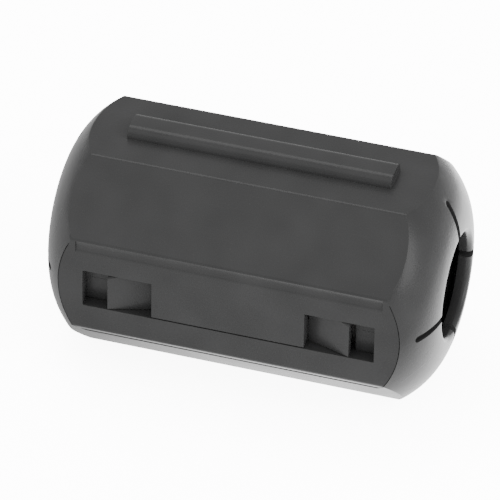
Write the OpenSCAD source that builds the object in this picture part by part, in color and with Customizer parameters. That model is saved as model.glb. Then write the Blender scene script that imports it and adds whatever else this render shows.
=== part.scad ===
// Clip-on ferrite bead: an eight-sided case with two domed ends that opens on a living
// hinge, closes on a flexible latch flap and holds two half-round ferrite cores.
// The cable runs along X through the origin, the latch faces -Y, the hinge is on +Y,
// and the two halves of the case part on the plane z = 0.

/* [Case] */
// Length over the two domed ends
case_l = 34.6; // [34:0.1:40]
// Width across the flats
flat_w = 19.5; // [19.4:0.1:20.4]
// How far the corners stand out past the flats, from the axis
corner_out = 1; // [0.8:0.05:1.4]
// Rounding of the eight long corners
corner_r = 0.5; // [0.2:0.1:0.8]

/* [Domed ends] */
// Radius of the arc that draws each dome
dome_r = 7.9; // [7:0.1:10.5]
// Distance from the cable axis to the centre of that arc
dome_offset = 4.1; // [3:0.1:4.6]
// Wall of the dome, where it breaks into petals
petal_t = 1.2; // [0.9:0.1:1.5]
// Diameter of the cable mouth
mouth_d = 9; // [6:0.5:9.5]
// Rounding of the mouth's outer edge
mouth_rim_r = 0.5; // [0.2:0.1:0.6]
// Width of the slits between the petals
slit_w = 0.6; // [0.3:0.05:1]
// Distance across the outer ends of two facing slits
slit_reach = 17; // [13:0.5:17.5]

/* [Ferrite cores] */
// Length of the cores
core_l = 28; // [20:0.5:28.5]
// Wall of the case between the seat of the flap and the pocket of the cores
seat_wall_t = 0.72; // [0.62:0.05:1.92]
// Diameter of the hole through the cores
core_bore_d = 9.3; // [7:0.1:10]
// Bevel at the ends of the core's hole
core_bevel = 0.4; // [0.2:0.1:0.8]
// Clearance between a core and its pocket
core_gap = 0.1; // [0.05:0.05:0.3]
// Thickness of the rim that stops a core at each end
stop_t = 0.6; // [0.4:0.1:1]
// Height of that rim above the pocket wall
stop_h = 1; // [0.5:0.1:1.5]

/* [Latch flap] */
// Thickness of the flap
flap_t = 1.2; // [0.9:0.05:1.2]
// Clearance behind the flap
flap_gap = 0.08; // [0.05:0.01:0.12]
// Clearance between the ends of the flap and the domes
flap_end_gap = 0.06; // [0.04:0.02:0.3]
// How far the flap hangs below the parting plane
flap_drop = 5.2; // [4.8:0.1:5.6]
// Radius of the hollow that lets the flap bend
groove_r = 1.2; // [0.8:0.1:2]
// Depth of that hollow
groove_depth = 0.15; // [0.05:0.05:0.3]
// Height of the hollow's middle above the parting plane
groove_z = 3.85; // [3.2:0.05:4]

/* [Latch window] */
// Distance from an end of the window to the end of the case
window_inset = 4.5; // [4.2:0.1:6.5]
// Top edge of the window above the parting plane
window_top = 1.45; // [0.8:0.05:2]
// Bottom edge of the window below the parting plane
window_bottom = 2.15; // [1.8:0.05:2.8]
// Length of the tongue in the middle of the window
tongue_l = 13.4; // [10:0.2:15]
// Clearance under the tongue
tongue_gap = 0.12; // [0.08:0.02:0.3]

/* [Latch fingers] */
// Distance from the middle of the case to the tip of a finger
finger_tip = 10.6; // [9.8:0.1:12]
// Thickness of a finger
finger_t = 0.75; // [0.5:0.05:0.9]
// Clearance between a finger and the edge that it catches
catch_gap = 0.06; // [0.04:0.02:0.2]
// Clearance above a finger
finger_top_gap = 0.2; // [0.1:0.05:0.4]
// Clearance beside the root of a finger
root_gap = 0.06; // [0.04:0.02:0.2]
// Length of the root that is joined to the case wall
root_l = 0.65; // [0.4:0.05:1]

/* [Crown rib] */
// Length of the rib
rib_l = 23.1; // [15:0.1:25]
// Width of the rib
rib_w = 3; // [2:0.1:4]
// Height of the rib
rib_h = 1; // [0.6:0.1:1.4]
// Rounding of the rib's two top edges
rib_r = 0.9; // [0.3:0.1:1]

/* [Living hinge] */
// Length of each hinge strap
strap_l = 6; // [3:0.5:8]
// Thickness of the straps
strap_t = 0.35; // [0.25:0.05:0.5]
// Radius of the strap's bend, to the middle of its thickness
strap_bend_r = 0.8; // [0.6:0.05:1]
// Distance between the middles of the two straps
strap_spacing = 13; // [9:0.5:18]
// Depth of the notch that each strap sits in
notch_depth = 0.9; // [0.6:0.05:1]
// Clearance around a strap in its notch
notch_gap = 0.4; // [0.2:0.1:0.8]
// Distance from the hinge flat out to the hinge axis
hinge_out = 0.2; // [0.1:0.05:0.4]

/* [Hidden] */

case_colour = [0.07, 0.07, 0.075];
core_colour = [0.2, 0.19, 0.19];
fine = 96;
soft = 32;
corner_steps = 4;
over = 1;
slit_land = 0.15;
strap_sink = 0.04;
groove_end = 0.3;
relief_gap = 0.25;
lead_in = 0.35;
far = 2 * case_l;

flat_y = flat_w / 2;
case_d = flat_w + 2 * corner_out;
corner_z = sqrt(pow(case_d / 2, 2) - pow(flat_y, 2));
mouth_r = mouth_d / 2;
rim_centre_r = mouth_r + mouth_rim_r;
dome_x = case_l / 2 - sqrt(pow(dome_r, 2) - pow(rim_centre_r - dome_offset, 2));
rim_x = dome_x + sqrt(pow(dome_r - mouth_rim_r, 2) - pow(rim_centre_r - dome_offset, 2));
rim_touch_r = dome_offset + dome_r * (rim_centre_r - dome_offset) / (dome_r - mouth_rim_r);

pocket_x = core_l / 2 + core_gap;
cavity_x = pocket_x + stop_t;
slit_x = cavity_x + slit_land;
slit_end_r = slit_reach / 2 - slit_w / 2;

flap_y = flat_y - flap_t;
seat_y = flap_y - flap_gap;
pocket_r = seat_y - seat_wall_t;
core_d = 2 * (pocket_r - core_gap);
window_l = case_l - 2 * window_inset;
crease_mid_x = dome_x + sqrt(pow(dome_r, 2) - pow(flat_y - dome_offset, 2));
crease_corner_x = dome_x + sqrt(pow(dome_r, 2) - pow(case_d / 2 - dome_offset, 2));
crease_rise = crease_mid_x - crease_corner_x;
crease_r = (pow(corner_z, 2) + pow(crease_rise, 2)) / (2 * crease_rise);
crease_x = crease_mid_x - crease_r;

finger_root = tongue_l / 2 + root_gap;
finger_edge = finger_root + root_l;
relief_x = finger_tip + relief_gap;
finger_low = window_bottom - catch_gap;
finger_high = window_top - finger_top_gap;
finger_slope = (flat_y - flap_y) / (finger_tip - finger_root);
finger_back = finger_t * sqrt(1 + pow(finger_slope, 2));

notch_y = flat_y - notch_depth;
hinge_y = flat_y + hinge_out;
strap_y = hinge_y - strap_bend_r - strap_sink;
notch_z = strap_bend_r + strap_t / 2 + notch_gap;

function unit(v) = v / norm(v);

// Points of the rounding at corner b between its neighbours a and c
function corner_arc(a, b, c, r) =
    let (u = unit(a - b), v = unit(c - b),
         bend = acos(u * v),
         centre = b + unit(u + v) * r / sin(bend / 2),
         start = b + u * r / tan(bend / 2) - centre,
         finish = b + v * r / tan(bend / 2) - centre,
         from = atan2(start[1], start[0]),
         sweep = 180 - bend)
    [for (i = [0 : corner_steps])
        let (angle = from + sweep * i / corner_steps)
        centre + r * [cos(angle), sin(angle)]];

// An outline, listed anticlockwise, with every corner rounded
function rounded(points, r) =
    let (n = len(points))
    [for (i = [0 : n - 1])
        each corner_arc(points[(i + n - 1) % n], points[i], points[(i + 1) % n], r)];

function octagon(a, b) = [[a, -b], [a, b], [b, a], [-b, a], [-a, b], [-a, -b], [-b, -a], [b, -a]];

// A section drawn in Y and Z, drawn out along X
module along_x(length) {
    rotate([90, 0, 90]) linear_extrude(height = length, center = true) children();
}

// A profile of radius and x, turned about the cable axis
module turned() {
    rotate([0, 90, 0]) rotate_extrude($fn = fine) children();
}

// An outline drawn in X and Z, from a depth inside the case out past the latch side
module towards_latch(from_y, to_y) {
    translate([0, -from_y, 0]) rotate([90, 0, 0]) linear_extrude(height = to_y - from_y) children();
}

module both_ends() {
    children();
    mirror([0, 1]) children();
}

module below_parting() {
    translate([-far / 2, -far / 2, -far]) cube([far, far, far]);
}

module above_parting() {
    translate([-far / 2, -far / 2, 0]) cube([far, far, far]);
}

// Half profile of the domes, as a disc of the given radius behind each end
module dome_profile(radius, from_x) {
    both_ends() intersection() {
        translate([dome_offset, dome_x]) circle(r = radius, $fn = fine);
        translate([0, from_x]) square([case_d, dome_r]);
    }
}

module outer_body() {
    intersection() {
        along_x(case_l + over) polygon(rounded(octagon(flat_y, corner_z), corner_r));
        turned() {
            translate([0, -dome_x - over]) square([case_d / 2, 2 * (dome_x + over)]);
            dome_profile(dome_r, dome_x);
        }
    }
}

// Everything that is hollow around the cable axis: pocket, stops, end chambers and mouths
module hollow() {
    turned() {
        translate([0, -pocket_x]) square([pocket_r, 2 * pocket_x]);
        translate([0, -cavity_x]) square([pocket_r - stop_h, 2 * cavity_x]);
        intersection() {
            dome_profile(dome_r - petal_t, cavity_x);
            translate([0, -case_l / 2]) square([pocket_r, case_l]);
        }
        translate([0, -case_l / 2 - over]) square([mouth_r, case_l + 2 * over]);
        both_ends() difference() {
            translate([mouth_r - over, rim_x]) square([rim_touch_r - mouth_r + over, over]);
            translate([rim_centre_r, rim_x]) circle(r = mouth_rim_r, $fn = soft);
        }
    }
}

// The cross of slits that parts one mouth into four petals
module slits() {
    for (end = [-1, 1], turn = [0 : 90 : 270]) rotate([turn, 0, 0]) {
        translate([end * (slit_x + dome_r / 2), slit_end_r / 2, 0])
            cube([dome_r, slit_end_r, slit_w], center = true);
        translate([end * (slit_x + dome_r / 2), slit_end_r, 0])
            rotate([0, 90, 0]) cylinder(h = dome_r, d = slit_w, center = true, $fn = soft);
    }
}

module hollow_case() {
    difference() {
        outer_body();
        hollow();
        slits();
    }
}

// Outline of the flap with its bowed ends, between two heights
module flap_outline(grow, low, high) {
    intersection() {
        union() {
            square([2 * crease_x, 2 * crease_r], center = true);
            for (end = [-1, 1]) translate([end * crease_x, 0]) circle(r = crease_r + grow, $fn = fine);
        }
        translate([-case_l / 2, low]) square([case_l, high - low]);
    }
}

module window_outline() {
    difference() {
        translate([-window_l / 2, -window_bottom]) square([window_l, window_bottom + window_top]);
        translate([-tongue_l / 2, tongue_gap - window_bottom]) square([tongue_l, case_l]);
    }
}

module strap_notches() {
    for (side = [-1, 1])
        translate([side * strap_spacing / 2, notch_y + flat_y / 2, 0])
            cube([strap_l + 2 * notch_gap, flat_y, 2 * notch_z], center = true);
}

// Openings in the wall behind the fingers, which leave them room to bend inwards
module finger_relief(from_x) {
    low = -window_bottom - relief_gap;
    towards_latch(mouth_r, flap_y) difference() {
        translate([-relief_x, low]) square([2 * relief_x, window_top - low]);
        translate([-from_x, low - over]) square([2 * from_x, far]);
    }
}

module lower_case() {
    color(case_colour) difference() {
        intersection() {
            hollow_case();
            below_parting();
        }
        towards_latch(seat_y, flat_y + over) flap_outline(flap_end_gap / 2, -case_d / 2, over);
        finger_relief(finger_edge);
        strap_notches();
    }
}

module crown_rib() {
    top = [[rib_w / 2, flat_y - over], [rib_w / 2, flat_y + rib_h],
           [-rib_w / 2, flat_y + rib_h], [-rib_w / 2, flat_y - over]];
    section = concat(corner_arc(top[0], top[1], top[2], rib_r), corner_arc(top[1], top[2], top[3], rib_r));
    along_x(rib_l) polygon(concat([top[0]], section, [top[3]]));
}

module latch_flap() {
    intersection() {
        outer_body();
        towards_latch(flap_y, flat_y + over) flap_outline(-flap_end_gap / 2, -flap_drop, corner_z / 2);
    }
}

// Slits that part the ends of the flap from the domes above the parting plane
module flap_end_slits() {
    towards_latch(seat_y, flat_y + over) difference() {
        flap_outline(flap_end_gap / 2, -over, corner_z - corner_r);
        flap_outline(-flap_end_gap / 2, -flap_drop, corner_z);
    }
}

module flex_groove() {
    translate([0, -flat_y - groove_r + groove_depth, groove_z]) rotate([0, 90, 0])
        cylinder(h = 2 * crease_corner_x - 2 * groove_end, r = groove_r, center = true, $fn = soft);
}

module upper_case() {
    color(case_colour) {
        difference() {
            union() {
                difference() {
                    intersection() {
                        hollow_case();
                        above_parting();
                    }
                    strap_notches();
                }
                latch_flap();
            }
            towards_latch(seat_y, flat_y + over) window_outline();
            finger_relief(tongue_l / 2);
            flap_end_slits();
            flex_groove();
        }
        difference() {
            crown_rib();
            hollow();
        }
    }
}

// A spring finger that rises from the case wall beside the tongue to the face of the flap
module latch_finger(side) {
    edge_y = -flap_y - finger_slope * root_l + finger_back;
    plan = [[finger_root, -seat_y], [finger_root, -flap_y], [finger_tip, -flat_y],
            [finger_tip, finger_back - flat_y], [finger_edge, edge_y], [finger_edge, -seat_y]];
    color(case_colour) mirror([side < 0 ? 1 : 0, 0, 0]) difference() {
        translate([0, 0, -finger_low]) linear_extrude(height = finger_low + finger_high) polygon(plan);
        translate([finger_tip, -flat_y, finger_high]) rotate([45, 0, 0])
            cube([4 * finger_t, lead_in, lead_in], center = true);
    }
}

module latch_finger_left() {
    latch_finger(-1);
}

module latch_finger_right() {
    latch_finger(1);
}

// A film strap that leaves one half, bends round outside and enters the other
module hinge_strap(side) {
    color(case_colour) translate([side * strap_spacing / 2, 0, 0]) along_x(strap_l) {
        difference() {
            translate([strap_y, 0]) circle(r = strap_bend_r + strap_t / 2, $fn = fine);
            translate([strap_y, 0]) circle(r = strap_bend_r - strap_t / 2, $fn = fine);
            translate([strap_y - case_d, -case_d / 2]) square(case_d);
        }
        for (level = [-1, 1])
            translate([notch_y, level * strap_bend_r - strap_t / 2]) square([strap_y - notch_y, strap_t]);
    }
}

module hinge_strap_left() {
    hinge_strap(-1);
}

module hinge_strap_right() {
    hinge_strap(1);
}

module core_pair() {
    bore_r = core_bore_d / 2;
    turned() difference() {
        translate([bore_r, -core_l / 2]) square([core_d / 2 - bore_r, core_l]);
        both_ends() translate([bore_r, core_l / 2]) rotate(45)
            square(core_bevel * sqrt(2), center = true);
    }
}

module lower_core() {
    color(core_colour) intersection() {
        core_pair();
        below_parting();
    }
}

module upper_core() {
    color(core_colour) intersection() {
        core_pair();
        above_parting();
    }
}

lower_case();
upper_case();
latch_finger_left();
latch_finger_right();
hinge_strap_left();
hinge_strap_right();
lower_core();
upper_core();
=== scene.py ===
import math

import bmesh
import bpy
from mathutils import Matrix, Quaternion, Vector


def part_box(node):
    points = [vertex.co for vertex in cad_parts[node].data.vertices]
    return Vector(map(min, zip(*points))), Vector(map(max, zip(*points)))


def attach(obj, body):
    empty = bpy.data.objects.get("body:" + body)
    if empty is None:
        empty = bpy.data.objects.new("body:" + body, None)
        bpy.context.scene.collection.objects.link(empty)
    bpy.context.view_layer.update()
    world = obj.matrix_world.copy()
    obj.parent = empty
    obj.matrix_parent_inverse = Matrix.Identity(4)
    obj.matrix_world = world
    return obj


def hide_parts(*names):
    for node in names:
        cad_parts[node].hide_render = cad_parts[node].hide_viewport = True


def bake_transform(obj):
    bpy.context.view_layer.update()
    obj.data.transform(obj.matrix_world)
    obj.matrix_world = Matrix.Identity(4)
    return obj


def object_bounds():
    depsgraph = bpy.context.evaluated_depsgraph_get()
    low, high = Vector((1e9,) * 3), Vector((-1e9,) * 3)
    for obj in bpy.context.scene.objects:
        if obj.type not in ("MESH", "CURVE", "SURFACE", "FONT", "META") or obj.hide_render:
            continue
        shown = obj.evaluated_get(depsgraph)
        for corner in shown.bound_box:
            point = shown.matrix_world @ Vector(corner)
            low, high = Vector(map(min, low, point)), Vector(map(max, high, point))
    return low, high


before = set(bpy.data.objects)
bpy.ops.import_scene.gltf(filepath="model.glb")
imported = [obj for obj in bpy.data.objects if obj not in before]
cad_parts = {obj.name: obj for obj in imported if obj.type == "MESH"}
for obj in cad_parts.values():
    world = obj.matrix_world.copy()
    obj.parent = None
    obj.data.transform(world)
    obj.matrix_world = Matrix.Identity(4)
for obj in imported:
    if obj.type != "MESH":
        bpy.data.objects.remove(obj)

cad_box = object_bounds()

# Sizes are in metres and angles in degrees
MM = 0.001
WHITE = (1, 1, 1, 1)

# Clean-up of the meshes, and the width of the rounding on each kind of piece
MERGE_DISTANCE = 0.002 * MM
CORNER_MERGE = 0.0005 * MM
FLAT_ANGLE = 0.6
SHARP_ANGLE = 28
CASE_EDGE = 0.04 * MM
FINGER_EDGE = 0.06 * MM
CORE_EDGE = 0.2 * MM
STRAP_EDGE = 0.08 * MM
EDGE_STEPS = 2

# Where the edges stay crisp: a mouth's rim, and the ends of the flap
RIM_ZONE = 1 * MM
FLAP_END_X = 13 * MM
FLAP_FRONT_Y = -5 * MM
FLAP_TOP_Z = 4.8 * MM

# The hinge film: its thickness, the steps of its half turn, and the normal that picks its end face
STRAP_T = 0.35 * MM
STRAP_STEPS = 24
STRAP_END_NORMAL = 0.9

# Camera: a long lens from the front, a little to the right and well above
CAMERA_AZIMUTH = 16.5
CAMERA_ELEVATION = 36.6
CAMERA_ROLL = 1.05
CAMERA_DISTANCE = 0.48
CAMERA_LENS = 406.2
AIM_RIGHT = -0.97 * MM
AIM_UP = -0.25 * MM
CAMERA_NEAR = 0.01

# Light: the radiance of the room, of the table and of each softbox
ROOM_LIGHT = 0.7
FLOOR_TONE = 0.8
FLOOR_GLOW = 0.4
POOL_GLOW = 4
POOL_CENTRE = (11 * MM, 25 * MM, 0)
POOL_RADIUS = 22 * MM
POOL_FADE_RADIUS = 42 * MM
FLOOR_SEEN_TONE = 6
FLOOR_SEEN_GLOW = 8
FLOOR_SIZE = 4
FLOOR_GAP = 0.02 * MM
FLOOR_ROUGHNESS = 0.9

# Each softbox: name, place, width, height, radiance
SOFTBOXES = (
    ("front_softbox", (-0.06, -0.36, 0.46), 0.6, 0.4, 0.5),
    ("right_softbox", (0.52, -0.1, 0.2), 0.25, 0.36, 3.4),
    ("overhead_softbox", (-0.14, 0.14, 0.53), 0.3, 0.22, 2.5),
)

# Limits are the part of a noise that is stretched from none to full
GRAIN_LIMITS = (0.3, 0.7)
CLOUD_LIMITS = (0.2, 0.8)

# Black nylon, as the mould leaves it: linear grey levels, and sizes of its grain and marks
PLASTIC_DARK = (0.047, 0.047, 0.0475, 1)
PLASTIC_LIGHT = (0.061, 0.061, 0.0615, 1)
# Lighter grey for scuffs and worn edges; on the edges it is also a painted highlight
PLASTIC_WEAR_AND_SHEEN = (0.078, 0.078, 0.078, 1)
DUST = (0.4, 0.39, 0.37, 1)
MOULD_GRAIN = 0.2 * MM
MOULD_CLOUD = 3.5 * MM
GRAIN_DEPTH = 0.004 * MM
SCUFF_LENGTH = 3 * MM
DUST_SPECK = 0.11 * MM
DUST_LIMITS = (0.66, 0.74)
# Patches of worn edge, which also carry the painted edge highlight
WORN_SHEEN_PATCH = 1.6 * MM
WORN_SHEEN_LIMITS = (0.42, 0.62)
PLASTIC_ROUGHNESS = (0.25, 0.3)
PLASTIC_SHINE = 0.26
EDGE_POLISH = 0.08
SCUFF_STRENGTH = 0.14
SCUFF_LIMITS = (0.69, 0.74)
SCUFF_WAVER = 0.15

DUST_STRENGTH = 0.04
DUST_DULLNESS = 2.0

# Each direction of the scuffs: how it is turned, in radians, and how far it is stretched
SCUFF_DIRECTIONS = (((0.3, 0.5, 0.9), (1, 40, 40)), ((0.9, -0.7, -0.5), (1, 30, 30)))

# The folded film: how far the whitening reaches, its colour, and its creases per metre
FOLD_REACH = 1.1 * MM
FOLD_WHITE = (0.13, 0.13, 0.135, 1)
CREASE_STRETCH = (300, 9000, 9000)
CREASE_LIMITS = (0.35, 0.7)

# Sintered ferrite: its speckle, its pores, and how far its grinding lines show
FERRITE_DARK = (0.08, 0.077, 0.076, 1)
FERRITE_LIGHT = (0.15, 0.146, 0.144, 1)
FERRITE_GROUND = (0.2, 0.198, 0.2, 1)
FERRITE_CRYSTAL = 0.1 * MM
FERRITE_CLOUD = 2.2 * MM
FERRITE_PORE = 0.55 * MM
PORE_RADIUS_LIMITS = (0.1, 0.2)
GRINDING_LINE = 0.05 * MM
PORE_DEPTH = 0.008 * MM
GRINDING_DEPTH = 0.0015 * MM
GRINDING_LIMITS = (0.35, 0.65)
GRINDING_SHOWS = (0.3, 0.6)
GROUND_NORMAL = 0.999
GROUND_SLOT = 1
MEETING_REACH = 1 * MM
FERRITE_ROUGHNESS = (0.5, 0.66)
GROUND_ROUGHNESS = (0.34, 0.48)


def only(piece):
    """Selects one piece and nothing else."""
    bpy.ops.object.select_all(action="DESELECT")
    piece.select_set(True)
    bpy.context.view_layer.objects.active = piece


def apply_modifier(piece, modifier):
    """Makes a modifier's result the piece's own mesh."""
    only(piece)
    bpy.ops.object.modifier_apply(modifier=modifier.name)


def select_in_edit_mode(piece, kind, wanted):
    """Selects, in edit mode, the faces or edges that a test picks by their place or normal."""
    bpy.ops.mesh.select_mode(type=kind)
    bpy.ops.mesh.select_all(action="DESELECT")
    mesh = bmesh.from_edit_mesh(piece.data)
    for element in mesh.faces if kind == "FACE" else mesh.edges:
        if wanted(element):
            element.select_set(True)
    bmesh.update_edit_mesh(piece.data)


def is_sharp(edge):
    """Whether two faces meet along an edge at more than the sharp angle."""
    return edge.is_manifold and edge.calc_face_angle() > math.radians(SHARP_ANGLE)


def round_edges(piece, width, wanted):
    """Rounds the edges that a test picks, marks the new strips for wear and a painted edge
    highlight, and closes the corners.

    A strip narrower than the rounding has less area than the width times half its perimeter.
    """
    only(piece)
    bpy.ops.object.mode_set(mode="EDIT")
    select_in_edit_mode(piece, "EDGE", wanted)
    bpy.ops.mesh.bevel(offset_type="WIDTH", offset=width, segments=EDGE_STEPS,
                       affect="EDGES", clamp_overlap=False, loop_slide=False)
    mesh = bmesh.from_edit_mesh(piece.data)
    sheen_and_wear_layer = mesh.faces.layers.float.new("worn_and_sheen_edge")
    for face in mesh.faces:
        is_narrow = face.calc_area() < width * face.calc_perimeter() / 2
        face[sheen_and_wear_layer] = 1.0 if face.select and is_narrow else 0.0
    bmesh.update_edit_mesh(piece.data)
    bpy.ops.mesh.select_all(action="SELECT")
    bpy.ops.mesh.remove_doubles(threshold=CORNER_MERGE)
    bpy.ops.object.mode_set(mode="OBJECT")


def shade(piece):
    """Shades a piece smooth up to the sharp angle, with large faces kept flat."""
    only(piece)
    bpy.ops.object.shade_smooth_by_angle(angle=math.radians(SHARP_ANGLE))
    shading = piece.modifiers.new("shading", "WEIGHTED_NORMAL")
    shading.keep_sharp = True
    apply_modifier(piece, shading)


def is_fine_fit(place):
    """Whether a point is on a mouth's thin rim or along an end of the flap."""
    on_rim = abs(place.x) > cad_box[1].x - RIM_ZONE
    by_flap_end = (abs(place.x) > FLAP_END_X and place.y < FLAP_FRONT_Y
                   and abs(place.z) < FLAP_TOP_Z)
    return on_rim or by_flap_end


def soft_edged_copy(node_name, piece_name, width):
    """A copy of a solid whose sharp edges are rounded as a mould or a grinder leaves them."""
    piece = bpy.data.objects.new(piece_name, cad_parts[node_name].data.copy())
    bpy.context.scene.collection.objects.link(piece)
    only(piece)
    bpy.ops.mesh.customdata_custom_splitnormals_clear()
    bpy.ops.object.mode_set(mode="EDIT")
    bpy.ops.mesh.select_all(action="SELECT")
    bpy.ops.mesh.remove_doubles(threshold=MERGE_DISTANCE)
    bpy.ops.mesh.dissolve_limited(angle_limit=math.radians(FLAT_ANGLE))
    bpy.ops.object.mode_set(mode="OBJECT")
    round_edges(piece, width, lambda edge: is_sharp(edge)
                and not any(is_fine_fit(vertex.co) for vertex in edge.verts))
    shade(piece)
    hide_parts(node_name)
    return piece


def hinge_film(side):
    """A film: a short leg out of the lower half, a half turn, and a leg into the upper half."""
    node_name = "hinge_strap_" + side
    low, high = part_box(node_name)
    # The half turn's outer radius is half the box's height, so its centre lies that far in
    bend_y = high.y - high.z
    middle_r = high.z - STRAP_T / 2
    middle_x = (low.x + high.x) / 2
    leg = bend_y - low.y
    bpy.ops.object.select_all(action="DESELECT")
    bpy.ops.mesh.primitive_cube_add(size=1, location=(middle_x, low.y + leg / 2, -middle_r),
                                    scale=(high.x - low.x, leg, STRAP_T))
    piece = bpy.context.object
    piece.name = "hinge_film_" + side
    bpy.ops.object.transform_apply(location=True, rotation=True, scale=True)
    bpy.ops.object.mode_set(mode="EDIT")
    select_in_edit_mode(piece, "FACE", lambda face: face.normal.y > STRAP_END_NORMAL)
    bpy.ops.mesh.spin(steps=STRAP_STEPS, angle=math.pi, center=(middle_x, bend_y, 0),
                      axis=(-1, 0, 0))
    bpy.ops.mesh.extrude_region_move(TRANSFORM_OT_translate={"value": (0, -leg, 0)})
    bpy.ops.mesh.select_all(action="SELECT")
    bpy.ops.mesh.remove_doubles(threshold=MERGE_DISTANCE)
    bpy.ops.mesh.normals_make_consistent(inside=False)
    bpy.ops.object.mode_set(mode="OBJECT")
    round_edges(piece, STRAP_EDGE, is_sharp)
    shade(piece)
    rest_place = piece.data.attributes.new("rest_place", "FLOAT_VECTOR", "POINT")
    for vertex in piece.data.vertices:
        rest_place.data[vertex.index].vector = vertex.co
    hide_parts(node_name)
    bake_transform(piece)
    return piece


class NodeTree:
    """Adds nodes to a tree and links them.

    An input takes a value or another node's socket. It goes by its name, or by its number as i0.
    """

    def __init__(self, tree):
        self.tree = tree

    def fill(self, node, **inputs):
        """Sets or links the inputs of a node, and returns the node."""
        for name, value in inputs.items():
            is_numbered = name[1:].isdigit()
            socket = node.inputs[int(name[1:]) if is_numbered else name.replace("_", " ")]
            if isinstance(value, bpy.types.NodeSocket):
                self.tree.links.new(value, socket)
            else:
                socket.default_value = value
        return node

    def add(self, kind, settings=(), **inputs):
        """Adds a shader node with its settings and inputs."""
        node = self.tree.nodes.new("ShaderNode" + kind)
        for name, value in dict(settings).items():
            setattr(node, name, value)
        return self.fill(node, **inputs)

    def maths(self, operation, first, second):
        """One operation on two values."""
        return self.add("Math", {"operation": operation}, i0=first, i1=second).outputs[0]

    def spread(self, value, low, high, to_low=0.0, to_high=1.0):
        """Stretches a range of values to another range, and stops at its ends."""
        return self.add("MapRange", Value=value, From_Min=low, From_Max=high,
                        To_Min=to_low, To_Max=to_high).outputs["Result"]

    def sized(self, place, size):
        """A place in units of a size, or times a number per metre along each axis."""
        scale = (1 / size,) * 3 if isinstance(size, float) else size
        return self.add("VectorMath", {"operation": "MULTIPLY"}, i0=place, i1=scale).outputs[0]

    def divided(self, place, size):
        """A place in units of a size that comes from a socket."""
        whole = self.maths("DIVIDE", 1.0, size)
        return self.add("VectorMath", {"operation": "SCALE"}, Vector=place, Scale=whole).outputs[0]

    def noise(self, place, detail=2.0, roughness=0.5, distortion=0.0):
        """Noise with cells one unit wide."""
        return self.add("TexNoise", Vector=place, Scale=1.0, Detail=detail, Roughness=roughness,
                        Distortion=distortion).outputs["Fac"]

    def mix(self, factor, first, second):
        """Mixes two colours, by the numbers that the node's colour sockets have."""
        node = self.add("Mix", {"data_type": "RGBA"}, i0=factor, i6=first, i7=second)
        return node.outputs[2]

    def bump(self, height, distance):
        """A normal tilted by a height, which is worth this distance at its fullest."""
        return self.add("Bump", Height=height, Distance=distance).outputs["Normal"]


def new_group(name, inputs, outputs):
    """A shader node group with named sockets.

    Returns the group, its tree, the sockets it is given and the node that takes its results.
    """
    group = bpy.data.node_groups.new(name, "ShaderNodeTree")
    for socket_name, kind in inputs:
        group.interface.new_socket(socket_name, in_out="INPUT", socket_type="NodeSocket" + kind)
    for socket_name in outputs:
        group.interface.new_socket(socket_name, in_out="OUTPUT", socket_type="NodeSocketFloat")
    entry = group.nodes.new("NodeGroupInput")
    result = group.nodes.new("NodeGroupOutput")
    return group, NodeTree(group), entry.outputs, result


def build_grain_group():
    """A fine even grain over slow, wide clouds, for both the plastic and the ferrite."""
    group, tree, given, result = new_group(
        "grain_and_clouds", (("Place", "Vector"), ("Grain Size", "Float"), ("Cloud Size", "Float")),
        ("Grain", "Clouds"))
    grain = tree.noise(tree.divided(given["Place"], given["Grain Size"]), detail=1.0)
    clouds = tree.noise(tree.divided(given["Place"], given["Cloud Size"]), detail=1.0)
    tree.fill(result, Grain=tree.spread(grain, *GRAIN_LIMITS),
              Clouds=tree.spread(clouds, *CLOUD_LIMITS))
    return group


def build_worn_sheen_group():
    """Where edges are rubbed and carry a painted highlight: broken patches along the marked faces.
    """
    group, tree, given, result = new_group(
        "worn_sheen_edge", (("Place", "Vector"), ("Edge", "Float"), ("Patch Size", "Float")),
        ("Rubbed",))
    patches = tree.noise(tree.divided(given["Place"], given["Patch Size"]), detail=5.0,
                         roughness=0.7)
    broken = tree.spread(patches, *WORN_SHEEN_LIMITS)
    tree.fill(result, Rubbed=tree.maths("MULTIPLY", broken, given["Edge"]))
    return group


def build_handling_group():
    """Hairline scuffs in two directions, and specks of dust."""
    group, tree, given, result = new_group(
        "scuffs_and_dust",
        (("Place", "Vector"), ("Scuff Length", "Float"), ("Speck Size", "Float")),
        ("Scuffs", "Dust"))
    along = tree.divided(given["Place"], given["Scuff Length"])
    scuffs = None
    for turn, stretch in SCUFF_DIRECTIONS:
        turned = tree.add("Mapping", Vector=along, Rotation=turn, Scale=stretch).outputs[0]
        noise = tree.noise(turned, detail=1.0, distortion=SCUFF_WAVER)
        lines = tree.spread(noise, *SCUFF_LIMITS)
        scuffs = lines if scuffs is None else tree.maths("MAXIMUM", scuffs, lines)
    specks = tree.noise(tree.divided(given["Place"], given["Speck Size"]), detail=2.0)
    tree.fill(result, Scuffs=scuffs, Dust=tree.spread(specks, *DUST_LIMITS))
    return group


def new_material(name, place_from):
    """A material, its node tree, its shader, and the place of each point on the piece."""
    material = bpy.data.materials.new(name)
    material.use_nodes = True
    tree = NodeTree(material.node_tree)
    if place_from == "Object":
        place = tree.add("TexCoord").outputs["Object"]
    else:
        place = tree.add("Attribute", {"attribute_name": place_from}).outputs["Vector"]
    return material, tree, material.node_tree.nodes["Principled BSDF"], place


def use_group(tree, group, **inputs):
    """Uses a shader node group in a tree, and returns its outputs."""
    node = tree.tree.nodes.new("ShaderNodeGroup")
    node.node_tree = group
    return tree.fill(node, **inputs).outputs


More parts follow.
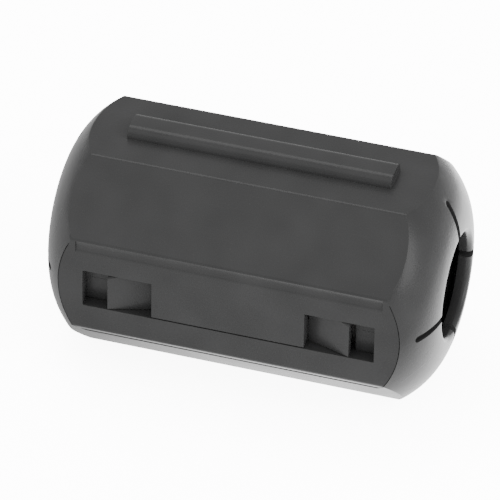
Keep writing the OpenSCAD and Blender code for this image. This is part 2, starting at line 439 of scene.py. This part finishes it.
def finish_plastic(tree, shader, place, colour, grain, clouds):
    """Adds worn edges with a painted highlight, scuffs and dust to a moulded colour, and sets its
    gloss and grain.
    """
    shader.inputs["Specular IOR Level"].default_value = PLASTIC_SHINE
    # The marked edge strips, painted lighter as wear and as a painted edge highlight
    edge = tree.add("Attribute", {"attribute_name": "worn_and_sheen_edge"}).outputs["Fac"]
    worn_sheen = use_group(tree, WORN_SHEEN_EDGE, Place=place, Edge=edge, Patch_Size=WORN_SHEEN_PATCH)["Rubbed"]
    marks = use_group(tree, SCUFFS_AND_DUST, Place=place, Scuff_Length=SCUFF_LENGTH,
                      Speck_Size=DUST_SPECK)
    scuffed = tree.maths("MULTIPLY", marks["Scuffs"], SCUFF_STRENGTH)
    dusty = tree.maths("MULTIPLY", marks["Dust"], DUST_STRENGTH)
    # Edges painted lighter: partly wear, partly a painted edge highlight
    colour = tree.mix(worn_sheen, colour, PLASTIC_WEAR_AND_SHEEN)
    colour = tree.mix(scuffed, colour, PLASTIC_WEAR_AND_SHEEN)
    colour = tree.mix(dusty, colour, DUST)
    gloss = tree.spread(clouds, 0.0, 1.0, *PLASTIC_ROUGHNESS)
    gloss = tree.maths("SUBTRACT", gloss, tree.maths("MULTIPLY", worn_sheen, EDGE_POLISH))
    gloss = tree.maths("ADD", gloss, tree.maths("MULTIPLY", dusty, DUST_DULLNESS))
    tree.fill(shader, Base_Color=colour, Roughness=gloss, Normal=tree.bump(grain, GRAIN_DEPTH))


def moulded_plastic():
    """The case's black plastic."""
    material, tree, shader, place = new_material("black_moulded_plastic", "Object")
    surface = use_group(tree, GRAIN_AND_CLOUDS, Place=place, Grain_Size=MOULD_GRAIN,
                        Cloud_Size=MOULD_CLOUD)
    colour = tree.mix(surface["Clouds"], PLASTIC_DARK, PLASTIC_LIGHT)
    finish_plastic(tree, shader, place, colour, surface["Grain"], surface["Clouds"])
    return material


def flexed_plastic():
    """The film hinge: the case's plastic, paler and creased where it has been folded."""
    material, tree, shader, place = new_material("flexed_film_plastic", "rest_place")
    surface = use_group(tree, GRAIN_AND_CLOUDS, Place=place, Grain_Size=MOULD_GRAIN,
                        Cloud_Size=MOULD_CLOUD)
    height = tree.maths("ABSOLUTE", tree.add("SeparateXYZ", Vector=place).outputs["Z"], 0.0)
    folded = tree.spread(height, 0.0, FOLD_REACH, 1.0, 0.0)
    creases = tree.noise(tree.sized(place, CREASE_STRETCH), detail=3.0)
    whitened = tree.maths("MULTIPLY", folded, tree.spread(creases, *CREASE_LIMITS))
    colour = tree.mix(surface["Clouds"], PLASTIC_DARK, PLASTIC_LIGHT)
    colour = tree.mix(whitened, colour, FOLD_WHITE)
    finish_plastic(tree, shader, place, colour, tree.maths("ADD", surface["Grain"], whitened),
                   surface["Clouds"])
    return material


def sintered_ferrite(ground):
    """Ferrite as it leaves the kiln, or with the flat faces that meet ground to fit."""
    name = "ground_ferrite" if ground else "sintered_ferrite"
    material, tree, shader, place = new_material(name, "Object")
    surface = use_group(tree, GRAIN_AND_CLOUDS, Place=place, Grain_Size=FERRITE_CRYSTAL,
                        Cloud_Size=FERRITE_CLOUD)
    cells = tree.add("TexVoronoi", Vector=tree.sized(place, FERRITE_PORE), Scale=1.0)
    pores = tree.spread(cells.outputs["Distance"], *PORE_RADIUS_LIMITS, 1.0, 0.0)
    speckle = tree.maths("MULTIPLY", surface["Grain"], surface["Clouds"])
    colour = tree.mix(speckle, FERRITE_DARK, FERRITE_GROUND if ground else FERRITE_LIGHT)
    colour = tree.mix(pores, colour, FERRITE_DARK)
    height = tree.maths("SUBTRACT", surface["Grain"], pores)
    low_gloss, high_gloss = FERRITE_ROUGHNESS
    if ground:
        stretch = (1 / SCUFF_LENGTH, 1 / GRINDING_LINE, 1 / GRINDING_LINE)
        lines = tree.noise(tree.sized(place, stretch), detail=2.0)
        shown = tree.spread(lines, *GRINDING_LIMITS, *GRINDING_SHOWS)
        colour = tree.mix(shown, colour, FERRITE_GROUND)
        height = tree.maths("SUBTRACT", lines, pores)
        low_gloss, high_gloss = GROUND_ROUGHNESS
    tree.fill(shader, Base_Color=colour,
              Roughness=tree.spread(surface["Clouds"], 0.0, 1.0, low_gloss, high_gloss),
              Normal=tree.bump(height, GRINDING_DEPTH if ground else PORE_DEPTH))
    return material


def pale_floor():
    """A white table with a pool of light behind the bead, seen as a bright backdrop."""
    material, tree, shader, place = new_material("pale_floor", "Object")
    shader.inputs["Roughness"].default_value = FLOOR_ROUGHNESS
    shader.inputs["Emission Color"].default_value = WHITE
    seen = tree.add("LightPath").outputs["Is Camera Ray"]
    away = tree.add("VectorMath", {"operation": "DISTANCE"}, i0=place, i1=POOL_CENTRE)
    glow = tree.spread(away.outputs["Value"], POOL_RADIUS, POOL_FADE_RADIUS, POOL_GLOW, FLOOR_GLOW)
    tree.fill(shader, Base_Color=tree.spread(seen, 0.0, 1.0, FLOOR_TONE, FLOOR_SEEN_TONE),
              Emission_Strength=tree.spread(seen, 0.0, 1.0, glow, FLOOR_SEEN_GLOW))
    return material


def grind_flat_faces(piece, material):
    """Gives the ground finish to a core's ends and to the faces that meet the other core."""
    piece.data.materials.append(material)
    for face in piece.data.polygons:
        is_end = abs(face.normal.x) > GROUND_NORMAL
        is_meeting = abs(face.normal.z) > GROUND_NORMAL and abs(face.center.z) < MEETING_REACH
        if is_end or is_meeting:
            face.material_index = GROUND_SLOT


def lay_floor():
    """Lays the table just under the bead."""
    bpy.ops.object.select_all(action="DESELECT")
    bpy.ops.mesh.primitive_plane_add(size=FLOOR_SIZE, location=(0, 0, cad_box[0].z - FLOOR_GAP))
    floor = bpy.context.object
    floor.name = "floor"
    floor.data.materials.append(pale_floor())


def soft_light(name, place, width, height, radiance):
    """A softbox that faces the bead. Its radiance is how bright its front is."""
    data = bpy.data.lights.new(name, "AREA")
    data.shape = "RECTANGLE"
    data.size = width
    data.size_y = height
    data.energy = radiance * math.pi * width * height
    lamp = bpy.data.objects.new(name, data)
    lamp.location = place
    lamp.rotation_euler = (-Vector(place)).to_track_quat("-Z", "Y").to_euler()
    lamp.visible_camera = False
    bpy.context.scene.collection.objects.link(lamp)


def light_room():
    """An even white room, and the softboxes in it."""
    world = bpy.data.worlds.new("room")
    world.use_nodes = True
    world.node_tree.nodes["Background"].inputs["Color"].default_value = WHITE
    world.node_tree.nodes["Background"].inputs["Strength"].default_value = ROOM_LIGHT
    bpy.context.scene.world = world
    for softbox in SOFTBOXES:
        soft_light(*softbox)


def set_camera():
    """Puts the camera on its line of sight, aims it, and turns it about that line."""
    azimuth = math.radians(CAMERA_AZIMUTH)
    elevation = math.radians(CAMERA_ELEVATION)
    back = Vector((math.sin(azimuth) * math.cos(elevation),
                   -math.cos(azimuth) * math.cos(elevation),
                   math.sin(elevation)))
    right = Vector((math.cos(azimuth), math.sin(azimuth), 0))
    up = back.cross(right)
    aim = right * AIM_RIGHT + up * AIM_UP
    data = bpy.data.cameras.new("camera")
    data.lens = CAMERA_LENS
    data.clip_start = CAMERA_NEAR
    camera = bpy.data.objects.new("camera", data)
    camera.location = aim + back * CAMERA_DISTANCE
    facing = (-back).to_track_quat("-Z", "Y")
    camera.rotation_euler = (facing @ Quaternion((0, 0, 1), math.radians(CAMERA_ROLL))).to_euler()
    bpy.context.scene.collection.objects.link(camera)
    bpy.context.scene.camera = camera


set_camera()
lay_floor()
light_room()

GRAIN_AND_CLOUDS = build_grain_group()
WORN_SHEEN_EDGE = build_worn_sheen_group()
SCUFFS_AND_DUST = build_handling_group()
case_plastic = moulded_plastic()
film_plastic = flexed_plastic()
ferrite = sintered_ferrite(ground=False)
ground_ferrite = sintered_ferrite(ground=True)

# Each rigid piece: solid, name, body it rides on, width of its rounding, material, slot
PIECES = [
    ("lower_case", "lower_shell", "lower_half", CASE_EDGE, case_plastic, "case"),
    ("upper_case", "upper_shell", "upper_half", CASE_EDGE, case_plastic, "case"),
    ("latch_finger_left", "left_finger", "lower_half", FINGER_EDGE, case_plastic, "case"),
    ("latch_finger_right", "right_finger", "lower_half", FINGER_EDGE, case_plastic, "case"),
    ("lower_core", "lower_half_core", "lower_half", CORE_EDGE, ferrite, "ferrite"),
    ("upper_core", "upper_half_core", "upper_half", CORE_EDGE, ferrite, "ferrite"),
]
for node_name, piece_name, body, width, material, slot in PIECES:
    piece = soft_edged_copy(node_name, piece_name, width)
    piece.data.materials.clear()
    piece.data.materials.append(material)
    if material is ferrite:
        grind_flat_faces(piece, ground_ferrite)
    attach(piece, body)

for side in ("left", "right"):
    film = hinge_film(side)
    film.data.materials.append(film_plastic)
